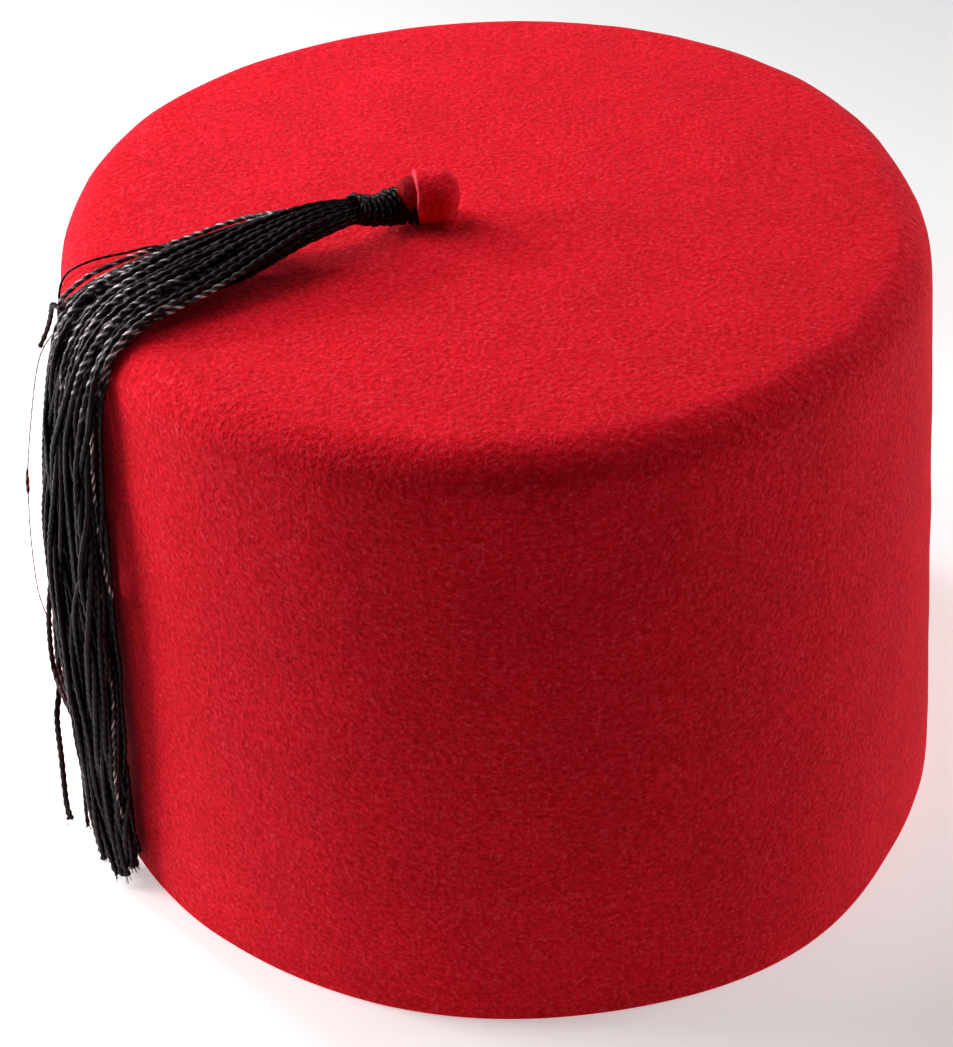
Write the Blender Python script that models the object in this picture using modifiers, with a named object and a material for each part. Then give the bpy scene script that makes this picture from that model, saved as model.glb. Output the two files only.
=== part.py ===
"""Fez hat of stiff red felt, with a felt stem on its top and a bound tassel of black cords.

Metres, +Z up. The cut rim lies in the plane z = 0. The crown's axis stands a little to +X of the
origin, so that the origin is the middle of the whole hat, tassel included. Azimuths are in degrees
round the crown's axis, from +X towards +Y; the front of the hat is at -90.
"""

import math
from collections import namedtuple

import bmesh
import bpy
from mathutils import Vector

# Crown
CROWN_AXIS_X = 0.0012
RIM_RADIUS = 0.0920
TOP_RADIUS = 0.0857
CROWN_HEIGHT = 0.1274
TOP_EDGE_RADIUS = 0.0084
FELT = 0.0022
OVAL = 1.0234
OVAL_LONG_AZIMUTH = 108.6
CROWN_STEPS = 72
EDGE_STEPS = 6
WALL_STEPS = 5
TOP_STEPS = 4

# Stem, in the crown's own axes: its mouth faces the tassel, its domed end points away from it
STEM_MOUTH = Vector((-0.0138, -0.0068, CROWN_HEIGHT + 0.0055))
STEM_AZIMUTH = 8.0
STEM_RADIUS = 0.0051
STEM_LENGTH = 0.0086
STEM_DOME = 0.0040
STEM_WALL = 0.0013
STEM_MOUTH_EDGE = 0.0005
STEM_SOCKET = 0.0020
STEM_STEPS = 32
STEM_DOME_STEPS = 7

# The stem's foot, which stands on the crown under a place that far from the stem's mouth
FOOT_FROM_MOUTH = 0.0052
FOOT_RADIUS = 0.0034
FOOT_TOP_RADIUS = 0.0031

# Binding: a collar against the stem's mouth, and the neck that it narrows to
COLLAR_RADIUS = 0.0046
COLLAR_LENGTH = 0.0030
COLLAR_DROP = 0.0004
COLLAR_STEPS = 6
SPIGOT_LENGTH = 0.0014
NECK_RADIUS = 0.0031
NECK_END = Vector((-0.0256, -0.0140, CROWN_HEIGHT + 0.0078))
NECK_SAG = 0.0009
NECK_START = 0.0027

# Tassel
ROOT_SIZE = 0.0065
SECTION_POINTS = 20
SECTION_SQUARENESS = 2.3
ROUTE_STEPS = 44

# Clear space between two pieces that meet
GAP = 0.0004
MERGE = 0.00001
SLOPE_STEP = 0.0002

# Where the felt has settled: a soft bump or hollow centred at an azimuth and a share of the height,
# fading over wide degrees and over high of the height, outward and upward in metres
Dent = namedtuple("Dent", "azimuth share wide high outward upward")
DENTS = (
    Dent(180.0, 1.00, 20.0, 0.16, -0.0013, -0.0009),
    Dent(148.0, 1.00, 20.0, 0.40, 0.0019, 0.0),
    Dent(90.0, 1.00, 40.0, 0.30, 0.0, -0.0006),
    Dent(58.0, 1.00, 18.0, 0.45, 0.0014, 0.0),
    Dent(30.0, 1.00, 10.0, 0.35, 0.0006, 0.0),
    Dent(6.0, 1.00, 12.0, 0.16, -0.0009, -0.0004),
    Dent(-12.0, 0.50, 16.0, 0.45, 0.0002, 0.0),
    Dent(-33.0, 0.00, 9.0, 0.30, -0.0011, 0.0),
    Dent(-54.0, 0.00, 14.0, 0.35, 0.0018, 0.0),
    Dent(-80.0, 0.00, 12.0, 0.30, -0.0006, 0.0),
    Dent(-120.0, 0.00, 14.0, 0.30, -0.0003, 0.0),
    Dent(-150.0, 0.00, 14.0, 0.35, 0.0007, 0.0),
)

# The tassel over the top: centre of the bundle, its height above the crown's top, its width and depth
Run = namedtuple("Run", "x y lift width depth")
TOP_RUN = (
    Run(-0.0302, -0.0163, 0.0077, 0.0076, 0.0070),
    Run(-0.0350, -0.0187, 0.0070, 0.0098, 0.0068),
    Run(-0.0441, -0.0237, 0.0057, 0.0152, 0.0062),
    Run(-0.0532, -0.0281, 0.0046, 0.0190, 0.0058),
    Run(-0.0604, -0.0322, 0.0038, 0.0204, 0.0052),
    Run(-0.0690, -0.0364, 0.0029, 0.0212, 0.0042),
)

# The tassel down the side: azimuth and height of its centre, how far that stands off the wall
Fall = namedtuple("Fall", "azimuth z standoff width depth")
SIDE_RUN = (
    Fall(-153.5, 0.1215, 0.0025, 0.0216, 0.0040),
    Fall(-154.5, 0.1060, 0.0034, 0.0230, 0.0056),
    Fall(-155.5, 0.0800, 0.0046, 0.0250, 0.0080),
    Fall(-155.5, 0.0520, 0.0053, 0.0255, 0.0094),
    Fall(-155.0, 0.0260, 0.0057, 0.0250, 0.0100),
    Fall(-154.0, 0.0020, 0.0055, 0.0225, 0.0092),
)

RED_FELT = ("red_felt", (0.56, 0.008, 0.020), 0.95)
BLACK_CORD = ("black_cord", (0.008, 0.008, 0.010), 0.42)


def material(name, color, roughness):
    """A plain finish in one colour, made once and then shared."""
    found = bpy.data.materials.get(name)
    if found:
        return found
    made = bpy.data.materials.new(name)
    made.use_nodes = True
    shader = made.node_tree.nodes["Principled BSDF"]
    shader.inputs["Base Color"].default_value = (*color, 1.0)
    shader.inputs["Roughness"].default_value = roughness
    shader.inputs["Metallic"].default_value = 0.0
    return made


def collection(name):
    made = bpy.data.collections.new(name)
    bpy.context.scene.collection.children.link(made)
    return made


def clear_scene():
    for obj in list(bpy.data.objects):
        bpy.data.objects.remove(obj, do_unlink=True)


def object_from(mesh, name, group, finish=None):
    obj = bpy.data.objects.new(name, mesh)
    group.objects.link(obj)
    if finish:
        mesh.materials.append(material(*finish))
    return obj


def as_helper(obj):
    """A shape that is only joined to another one, and never shown by itself."""
    obj.hide_render = True
    obj.display_type = "WIRE"
    return obj


def smooth(obj, sharp_above=40.0):
    obj.data.shade_smooth()
    obj.data.set_sharp_from_angle(angle=math.radians(sharp_above))


def evaluated_mesh(obj):
    """The mesh of an object with its modifiers, or of a curve with its bevel."""
    return bpy.data.meshes.new_from_object(obj.evaluated_get(bpy.context.evaluated_depsgraph_get()))


def turned(name, profile, steps, group, finish=None):
    """A profile of (radius, height) points turned round Z, with the Screw applied."""
    line = bpy.data.meshes.new(name + "_profile")
    points = [(radius, 0.0, height) for radius, height in profile]
    line.from_pydata(points, [(i, i + 1) for i in range(len(points) - 1)], [])
    guide = object_from(line, name + "_guide", group)
    screw = guide.modifiers.new("Turn", "SCREW")
    screw.steps = screw.render_steps = steps
    screw.use_merge_vertices = True
    screw.merge_threshold = MERGE
    mesh = evaluated_mesh(guide)
    bpy.data.objects.remove(guide)
    obj = object_from(mesh, name, group, finish)
    smooth(obj)
    return obj


def point_along(obj, start, direction):
    """Puts a turned object's Z axis along a direction, from a start point."""
    obj.rotation_euler = direction.to_track_quat("Z", "Y").to_euler()
    obj.location = start


def join(obj, other):
    union = obj.modifiers.new("Join", "BOOLEAN")
    union.operation = "UNION"
    union.object = as_helper(other)


# ---------------------------------------------------------------- crown


def wall_lean():
    """Angle by which the wall's outward side looks up, because the crown narrows towards its top."""
    return math.atan((RIM_RADIUS - TOP_RADIUS) / CROWN_HEIGHT)


def wall_radius(z):
    return RIM_RADIUS + (TOP_RADIUS - RIM_RADIUS) * z / CROWN_HEIGHT


def edge_centre():
    """Centre, as (radius, height), of the arc that rounds the top edge."""
    height = CROWN_HEIGHT - TOP_EDGE_RADIUS
    return wall_radius(height) - TOP_EDGE_RADIUS / math.cos(wall_lean()), height


def felt_face(inset):
    """The felt's outer face, or a face inset from it, from the middle of the top down to the rim."""
    centre_radius, centre_height = edge_centre()
    rounding = TOP_EDGE_RADIUS - inset
    points = [(centre_radius * i / TOP_STEPS, centre_height + rounding) for i in range(TOP_STEPS)]
    for i in range(EDGE_STEPS + 1):
        turn = math.radians(90.0) + (wall_lean() - math.radians(90.0)) * i / EDGE_STEPS
        points.append((centre_radius + rounding * math.cos(turn), centre_height + rounding * math.sin(turn)))
    arc_end = points[-1][1]
    for i in range(1, WALL_STEPS + 1):
        z = arc_end * (1 - i / WALL_STEPS)
        points.append((wall_radius(z) - inset / math.cos(wall_lean()), z))
    return points


def fade(distance, reach):
    return math.exp(-0.5 * (distance / reach) ** 2)


def settle(azimuth, share):
    """How far the felt stands (outward, upward) of its turned form there."""
    outward = upward = 0.0
    for dent in DENTS:
        turn = (azimuth - dent.azimuth + 180.0) % 360.0 - 180.0
        strength = fade(turn, dent.wide) * fade(share - dent.share, dent.high)
        outward += dent.outward * strength
        upward += dent.upward * strength * share
    return outward, upward


def stretch(x, y, amount):
    """Stretches a plan by amount along the oval's long axis, and narrows it across."""
    turn = math.radians(OVAL_LONG_AZIMUTH)
    along = (x * math.cos(turn) + y * math.sin(turn)) * amount
    across = (y * math.cos(turn) - x * math.sin(turn)) / amount
    return along * math.cos(turn) - across * math.sin(turn), along * math.sin(turn) + across * math.cos(turn)


def felt_point(x, y, z):
    """Takes a point of the turned form to where the settled oval felt has it, about the crown's axis."""
    radius = math.hypot(x, y)
    azimuth = math.degrees(math.atan2(y, x))
    outward, upward = settle(azimuth, z / CROWN_HEIGHT)
    reach = min(1.0, radius / TOP_RADIUS) ** 2
    scale = 1.0 + outward * reach / max(radius, MERGE)
    x, y = stretch(x * scale, y * scale, OVAL)
    return x, y, z + upward * reach


def turned_point(x, y, z):
    """The reverse of felt_point, near enough for placing things on the felt."""
    x, y = stretch(x, y, 1.0 / OVAL)
    radius = math.hypot(x, y)
    outward, upward = settle(math.degrees(math.atan2(y, x)), z / CROWN_HEIGHT)
    reach = min(1.0, radius / TOP_RADIUS) ** 2
    scale = 1.0 - outward * reach / max(radius, MERGE)
    return x * scale, y * scale, z - upward * reach


def height_off_felt(point):
    """Distance of a point, given about the crown's axis, from the felt's outer face."""
    x, y, z = turned_point(*point)
    centre_radius, centre_height = edge_centre()
    lean = wall_lean()
    past_wall = (math.hypot(x, y) - centre_radius) * math.cos(lean) + (z - centre_height) * math.sin(lean)
    past_top = z - centre_height
    outside = math.hypot(max(past_wall, 0.0), max(past_top, 0.0))
    return outside + min(max(past_wall, past_top), 0.0) - TOP_EDGE_RADIUS


def felt_normal(point):
    """Direction straight off the felt at a point near it, about the crown's axis."""
    slopes = []
    for axis in range(3):
        nudge = Vector((0.0, 0.0, 0.0))
        nudge[axis] = SLOPE_STEP
        slopes.append(height_off_felt(point + nudge) - height_off_felt(point - nudge))
    return Vector(slopes).normalized()


def place_on_hat(point):
    """From the crown's own axis to the object's frame."""
    return Vector((point[0] + CROWN_AXIS_X, point[1], point[2]))


def build_crown(group):
    outer = felt_face(0.0)
    inner = felt_face(FELT)
    crown = turned("crown", outer + inner[::-1], CROWN_STEPS, group, RED_FELT)
    for vertex in crown.data.vertices:
        vertex.co = place_on_hat(felt_point(*vertex.co))
    return crown


# ---------------------------------------------------------------- stem and binding


def stem_direction():
    """From the stem's mouth to its domed end."""
    turn = math.radians(STEM_AZIMUTH)
    return Vector((math.cos(turn), math.sin(turn), 0.0))


def stem_profile():
    """Domed end, side and mouth, then the socket that takes the binding."""
    points = [(0.0, STEM_LENGTH)]
    for i in range(1, STEM_DOME_STEPS + 1):
        turn = math.radians(90.0 * (1 - i / STEM_DOME_STEPS))
        points.append((STEM_RADIUS * math.cos(turn), STEM_LENGTH - STEM_DOME * (1 - math.sin(turn))))
    bore = STEM_RADIUS - STEM_WALL
    points.append((STEM_RADIUS, STEM_MOUTH_EDGE))
    points.append((STEM_RADIUS - STEM_MOUTH_EDGE, 0.0))
    points.append((bore, 0.0))
    points.append((bore, STEM_SOCKET))
    points.append((0.0, STEM_SOCKET))
    return points


def build_foot(helpers):
    """Cone from the crown's top, less the gap, up to the stem's axis."""
    bottom = CROWN_HEIGHT + GAP
    middle = STEM_MOUTH + stem_direction() * FOOT_FROM_MOUTH
    middle.z = (bottom + STEM_MOUTH.z) / 2
    bpy.ops.mesh.primitive_cone_add(
        vertices=STEM_STEPS,
        radius1=FOOT_RADIUS,
        radius2=FOOT_TOP_RADIUS,
        depth=STEM_MOUTH.z - bottom,
        location=place_on_hat(middle),
    )
    foot = bpy.context.object
    foot.name = "stem_foot"
    for owner in foot.users_collection:
        owner.objects.unlink(foot)
    helpers.objects.link(foot)
    return foot


def build_stem(group, helpers):
    stem = turned("felt_stub", stem_profile(), STEM_STEPS, group, RED_FELT)
    point_along(stem, place_on_hat(STEM_MOUTH), stem_direction())
    join(stem, build_foot(helpers))
    return stem


def collar_profile():
    """A rounded ring with a spigot that stands in the stem's socket, heights from the stem's mouth out."""
    spigot = NECK_RADIUS - GAP
    bulge = COLLAR_RADIUS - NECK_RADIUS
    points = [(0.0, COLLAR_LENGTH + GAP)]
    for i in range(COLLAR_STEPS + 1):
        turn = math.pi * i / COLLAR_STEPS
        points.append((NECK_RADIUS + bulge * math.sin(turn), GAP + COLLAR_LENGTH * (1 + math.cos(turn)) / 2))
    points.append((spigot, GAP))
    points.append((spigot, GAP - SPIGOT_LENGTH))
    points.append((0.0, GAP - SPIGOT_LENGTH))
    return points


def collar_seat():
    """Where the binding's axis meets the stem's mouth, a little under the middle."""
    return STEM_MOUTH - Vector((0.0, 0.0, COLLAR_DROP))


def neck_points():
    """Centreline of the neck, from inside the collar to where the cords come free."""
    start = collar_seat() - stem_direction() * NECK_START
    middle = (start + NECK_END) / 2 - Vector((0.0, 0.0, NECK_SAG))
    return start, middle, NECK_END


def neck_end_direction():
    start, middle, end = neck_points()
    return (end - middle).normalized()


def build_neck(helpers):
    curve = bpy.data.curves.new("neck", "CURVE")
    curve.dimensions = "3D"
    curve.bevel_depth = NECK_RADIUS
    curve.bevel_resolution = 4
    curve.resolution_u = 6
    curve.use_fill_caps = True
    spline = curve.splines.new("BEZIER")
    route = neck_points()
    spline.bezier_points.add(len(route) - 1)
    for bezier, point in zip(spline.bezier_points, route):
        bezier.co = place_on_hat(point)
        bezier.handle_left_type = bezier.handle_right_type = "AUTO"
    guide = object_from(curve, "neck_guide", helpers)
    mesh = evaluated_mesh(guide)
    bpy.data.objects.remove(guide)
    body = bmesh.new()
    body.from_mesh(mesh)
    bmesh.ops.remove_doubles(body, verts=body.verts, dist=MERGE)
    body.to_mesh(mesh)
    body.free()
    return object_from(mesh, "neck", helpers)


def build_binding(group, helpers):
    binding = turned("tassel_binding", collar_profile(), STEM_STEPS, group, BLACK_CORD)
    point_along(binding, place_on_hat(collar_seat()), -stem_direction())
    join(binding, build_neck(helpers))
    return binding


# ---------------------------------------------------------------- tassel


def tassel_stations():
    """The named runs as (centre, width, depth), about the crown's axis, from the neck to the tips."""
    neck = neck_end_direction()
    stations = [(NECK_END + neck * GAP, ROOT_SIZE, ROOT_SIZE)]
    for run in TOP_RUN:
        stations.append((Vector((run.x, run.y, CROWN_HEIGHT + run.lift)), run.width, run.depth))
    for fall in SIDE_RUN:
        turn = math.radians(fall.azimuth)
        out = Vector((math.cos(turn), math.sin(turn), 0.0))
        foot = out * wall_radius(fall.z)
        on_wall = Vector(felt_point(foot.x, foot.y, fall.z))
        stations.append((on_wall + out * fall.standoff, fall.width, fall.depth))
    return stations


def between(before, start, end, after, share):
    """Catmull-Rom value between start and end."""
    return 0.5 * (
        2 * start
        + (end - before) * share
        + (2 * before - 5 * start + 4 * end - after) * share**2
        + (3 * start - before - 3 * end + after) * share**3
    )


def smooth_route(stations, steps):
    """The stations as a fine run of (centre, width, depth) rows at even steps along them."""
    padded = [stations[0]] + stations + [stations[-1]]
    lengths = [0.0]
    for here, there in zip(stations, stations[1:]):
        lengths.append(lengths[-1] + (there[0] - here[0]).length)
    rows = []
    for i in range(steps + 1):
        along = lengths[-1] * i / steps
        leg = max(k for k in range(len(stations) - 1) if lengths[k] <= along + MERGE)
        share = (along - lengths[leg]) / (lengths[leg + 1] - lengths[leg])
        rows.append(tuple(between(*(padded[leg + k][part] for k in range(4)), share) for part in range(3)))
    return rows


def section(centre, width, depth, onward):
    """One closed outline of the bundle, square to its route and bent with the wall under it."""
    off = felt_normal(centre)
    across = onward.cross(off).normalized()
    off = across.cross(onward).normalized()
    wall_share = math.hypot(off.x, off.y)
    points = []
    for i in range(SECTION_POINTS):
        turn = 2 * math.pi * i / SECTION_POINTS
        power = 2.0 / SECTION_SQUARENESS
        side = math.copysign(abs(math.cos(turn)) ** power, math.cos(turn)) * width / 2
        rise = math.copysign(abs(math.sin(turn)) ** power, math.sin(turn)) * depth / 2
        rise -= wall_share * side**2 / (2 * RIM_RADIUS)
        point = centre + across * side + off * rise
        clear = height_off_felt(point)
        if clear < GAP:
            point += felt_normal(point) * (GAP - clear)
        points.append(point)
    return points


def build_tassel(group):
    """Lofts the bundle's outer form through its sections and closes both ends."""
    rows = smooth_route(tassel_stations(), ROUTE_STEPS)
    body = bmesh.new()
    rings = []
    for i, (centre, width, depth) in enumerate(rows):
        before = rows[max(i - 1, 0)][0]
        after = rows[min(i + 1, len(rows) - 1)][0]
        onward = neck_end_direction() if i == 0 else (after - before).normalized()
        outline = section(centre, width, depth, onward)
        rings.append([body.verts.new(place_on_hat(point)) for point in outline])
    for ring, following in zip(rings, rings[1:]):
        for k in range(SECTION_POINTS):
            beside = (k + 1) % SECTION_POINTS
            body.faces.new((ring[k], ring[beside], following[beside], following[k]))
    body.faces.new(rings[0])
    body.faces.new(rings[-1])
    bmesh.ops.recalc_face_normals(body, faces=body.faces)
    mesh = bpy.data.meshes.new("tassel")
    body.to_mesh(mesh)
    body.free()
    tassel = object_from(mesh, "tassel", group, BLACK_CORD)
    smooth(tassel)
    return tassel


def main():
    clear_scene()
    hat = collection("fez_hat")
    helpers = collection("fez_hat_helpers")
    build_crown(hat)
    build_stem(hat, helpers)
    build_binding(hat, helpers)
    build_tassel(hat)


main()
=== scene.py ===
"""Looks of a fez hat: red wool felt, a felt stem on the top, and a bound tassel of black cords.

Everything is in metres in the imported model's frame, +Z up, with the hat resting on its rim at z = 0.
The tassel hangs on the -X side, and the front of the hat faces -Y.
"""

import math

import bpy
import numpy as np
from mathutils import Matrix, Vector, noise
from mathutils.bvhtree import BVHTree


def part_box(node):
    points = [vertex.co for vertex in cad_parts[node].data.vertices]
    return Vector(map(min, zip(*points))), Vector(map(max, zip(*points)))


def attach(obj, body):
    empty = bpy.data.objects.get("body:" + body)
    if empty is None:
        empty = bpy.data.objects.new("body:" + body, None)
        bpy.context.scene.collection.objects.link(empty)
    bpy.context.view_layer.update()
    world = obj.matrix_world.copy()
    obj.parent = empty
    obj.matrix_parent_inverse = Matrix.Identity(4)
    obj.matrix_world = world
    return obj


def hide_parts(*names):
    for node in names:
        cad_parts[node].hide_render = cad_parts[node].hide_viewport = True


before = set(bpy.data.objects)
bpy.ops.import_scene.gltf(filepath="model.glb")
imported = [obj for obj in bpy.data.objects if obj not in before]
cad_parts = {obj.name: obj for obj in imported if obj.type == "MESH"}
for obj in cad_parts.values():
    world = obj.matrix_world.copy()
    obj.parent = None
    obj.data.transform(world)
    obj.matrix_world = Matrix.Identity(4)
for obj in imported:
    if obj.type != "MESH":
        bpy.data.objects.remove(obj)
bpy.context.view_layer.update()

# Camera
CAMERA_PLACE = Vector((0.0012, -0.4244, 0.3628))
CAMERA_AIM = Vector((-0.0043, -0.0216, 0.0666))
CAMERA_ROLL = -3.27
CAMERA_LENS = 86.1
CAMERA_SENSOR = 36.0

# Lights: name, azimuth, elevation, distance from the hat's middle, size, watts
LIGHTS = (
    ("key", 147.0, 57.0, 0.50, 0.30, 1.40),
    ("overhead", 120.0, 76.0, 0.45, 0.45, 0.28),
    ("high_right", 10.0, 62.0, 0.70, 0.47, 0.50),
    ("left", 172.0, 18.0, 0.60, 0.25, 3.0),
    ("back_left", 140.0, 27.0, 0.80, 0.12, 2.6),
    ("right", 5.0, 12.0, 0.60, 0.25, 1.4),
    ("back", 60.0, 8.0, 0.90, 0.40, 1.0),
)
# The pale surroundings: how much light they give, and how bright the camera sees them
WORLD_LIGHT = 0.005
WORLD_SEEN = 0.80

# Floor: its size and tone, and its own light as a bright pool round the hat and again far off,
# each as the distances from the middle where it starts and ends and its strength there
FLOOR_SIZE = 6.0
FLOOR_GRAIN = 0.05
FLOOR_DARK = (0.90, 0.90, 0.90, 1.0)
FLOOR_LIGHT = (0.93, 0.93, 0.93, 1.0)
FLOOR_POOL = (0.09, 0.20, 0.42, 0.0)
FLOOR_FAR = (0.30, 1.20, 0.0, 0.60)

# Felt: its colours, and the sizes of its grain, fibres, pale flecks and slow clouds
FELT_DEEP = (0.57, 0.0008, 0.0060, 1.0)
FELT_RED = (0.79, 0.0030, 0.0180, 1.0)
FELT_LIGHT = (0.88, 0.050, 0.080, 1.0)
# the cut edge's colour: paler cut felt, and a painted highlight where the stem's mouth edge catches the
# light
FELT_CUT_AND_HIGHLIGHT = (0.80, 0.09, 0.13, 1.0)
FELT_GRAIN = 0.0011
FELT_FIBRE = 0.00035
FELT_FLECK = 0.0008
FELT_CLOUD = 0.016
FELT_RELIEF = 0.0008

# Cord: its colours with a painted highlight colour, the sizes of its dust and of the patches of painted
# highlight, and its filaments
CORD_DARK = (0.0062, 0.0018, 0.0028, 1.0)
CORD_LIGHT = (0.0170, 0.0070, 0.0095, 1.0)
CORD_PAINTED_GLINT = (0.80, 0.68, 0.70, 1.0)
CORD_DUST = 0.0012
CORD_GLINT_PATCH = 0.0024
CORD_RELIEF = 0.00003
FILAMENTS = 12.0
FILAMENT_SLANT = -8.0

# Felt crown
EDGE_ROUNDING = 0.0084
CROWN_COLUMNS = 72
TOP_RINGS = 5
EDGE_RINGS = 6
WALL_RINGS = 10
RIM_CORNER = 0.0004
# the cut rim's section: share of the way in through the felt, and height in corner radii
RIM_FORM = ((0.04, 0.5), (0.27, 0.0), (0.73, 0.0), (0.96, 0.5))
PROBE = 0.05
FELT_SMOOTHING = 2
UNEVEN_SIZE = 0.014
UNEVEN_DEPTH = 0.00016
CUT_REACH = 0.0007

# Stem, in its own axes: its mouth faces the tassel and its domed end points the other way
STEM_MOUTH = Vector((-0.0126, -0.0068, 0.1329))
STEM_AZIMUTH = 8.0
STEM_RADIUS = 0.0051
STEM_LENGTH = 0.0086
STEM_DOME = 0.0040
STEM_BORE = 0.0038
STEM_SOCKET = 0.0020
STEM_COLUMNS = 40
FOOT_FROM_MOUTH = 0.0050
FOOT_FORM = ((0.0031, 0.0040), (0.0031, 0.0016), (0.0034, 0.0008), (0.0041, 0.0003), (0.0048, 0.0000))
FOOT_SUNK = 0.0004
STEM_VOXEL = 0.00025
STEM_UNEVEN_SIZE = 0.0032
STEM_UNEVEN_DEPTH = 0.00022

# Felt tongue that the tassel's binding grips: radius and distance out of the stem's mouth
TONGUE = (
    (0.0000, -0.0014),
    (0.0032, -0.0014),
    (0.0037, 0.0002),
    (0.0038, 0.0012),
    (0.0034, 0.0022),
    (0.0026, 0.0031),
    (0.0016, 0.0036),
    (0.0000, 0.0038),
)
TONGUE_RISE = 0.0003
# painted shade: the tongue's felt is made darker than the rest of the felt
TONGUE_PAINTED_SHADE = 0.35

# Neck and its whipping
NECK_START = 0.0030
NECK_DROP = 0.0013
NECK_SAG = 0.0009
NECK_END = Vector((-0.0244, -0.0140, 0.1352))
NECK_CORE = 0.0024
WHIP_RADIUS = 0.00054
WHIP_TWIST = 0.0031
WHIP_PITCH = 0.00145
# radius of the whipping's middle line at a share of its length, from the stem's mouth to the cords
WHIP_FORM = ((0.0, 0.0036), (0.15, 0.0036), (0.30, 0.0032), (0.50, 0.0027), (0.75, 0.0024), (1.0, 0.0024))
WHIP_STRAY = 0.00008
WHIP_START = -0.0006
WHIP_DROP = 0.0012
# slow drift of the winding: radians, and waves along it
WHIP_DRIFT = (0.8, 2.4)
# its tucked ends: share of its length, and share of the radius that is left there
WHIP_TUCK = (0.03, 0.72)

# Tassel cords: the bundle's route over the top as x, y, height above the top, width and depth
TOP_ROUTE = (
    (-0.0290, -0.0163, 0.0077, 0.0074, 0.0068),
    (-0.0338, -0.0187, 0.0070, 0.0096, 0.0066),
    (-0.0437, -0.0224, 0.0057, 0.0166, 0.0060),
    (-0.0526, -0.0269, 0.0046, 0.0196, 0.0056),
    (-0.0596, -0.0318, 0.0038, 0.0200, 0.0050),
    (-0.0681, -0.0360, 0.0029, 0.0200, 0.0040),
)
# and down the side as azimuth, height, distance off the wall, width and depth
SIDE_ROUTE = (
    (-152.8, 0.1215, 0.0027, 0.0245, 0.0040),
    (-153.6, 0.1060, 0.0040, 0.0262, 0.0062),
    (-154.2, 0.0800, 0.0055, 0.0290, 0.0092),
    (-152.5, 0.0600, 0.0058, 0.0232, 0.0098),
    (-151.2, 0.0440, 0.0060, 0.0170, 0.0100),
    (-151.2, 0.0300, 0.0056, 0.0154, 0.0094),
    (-151.4, 0.0120, 0.0048, 0.0138, 0.0084),
    (-150.8, 0.0014, 0.0040, 0.0112, 0.0070),
)
CORDS = 54
CORD_RADIUS = 0.00056
CORD_TWIST = 0.0045
CORD_PLY = 0.13
CORD_SIDES = 10
CORD_RING = 0.0005
LAY_STEPS = 120
# share of its full thickness that a cord has at a distance from the neck's start
CORD_SWELL = ((0.0, 0.50), (0.0125, 0.50), (0.0175, 0.76), (0.0230, 0.88), (0.0320, 1.0))
CORD_PIECES = 3
CORD_SEED = 7
# how far one cord's thickness and twist may differ from another's
CORD_THICKNESS = (0.88, 1.10)
CORD_TWISTING = (0.85, 1.25)
# a cut end opens: over this length, by this much more lobed, by this much thicker
OPENED_END = 0.0035
OPENED_PLY = 0.22
OPENED_WIDTH = 0.15
# waves along the whole bundle by which a cord wanders in it, and their strength
BUNDLE_WAVES = ((1.3, 0.34), (2.7, 0.24), (5.5, 0.13))
# where along the bundle the waves set in and where they grow again: start, length and strength
LOOSENING = ((0.08, 0.40, 1.0), (0.85, 0.15, 0.5))
# turn of the whole bundle about itself in radians, reached at a share of its length
BUNDLE_TURN = 1.1
BUNDLE_TURN_REACH = 0.25
# settling of the cords: rounds, gap between cords and over the felt in radii, and its pace
SETTLING = 30
SETTLED_GAP = 1.9
SETTLED_OVER_FELT = 1.3
SETTLING_PUSH = 0.6
SETTLING_SMOOTH = 0.25
SETTLING_CHECK = 5
TIP_SPREAD = 0.0062
# painted highlights on the cords' ply crests where they bend over the edge: height, reach along them, least
# and most
PAINTED_GLINT_AT = 0.1285
PAINTED_GLINT_REACH = 0.014
PAINTED_GLINT = (1.3, 5.2)
# filaments at a cut end: number, radius, reach past it, lean away from it and where they leave it
FRAY_HAIRS = 4
FRAY_RADIUS = 0.00008
FRAY_REACH = (0.0006, 0.0018)
FRAY_LEAN = (0.10, 0.45)
FRAY_ROOT = 0.0010
FRAY_OUT = 0.0004
LOWEST = 0.0004

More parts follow.
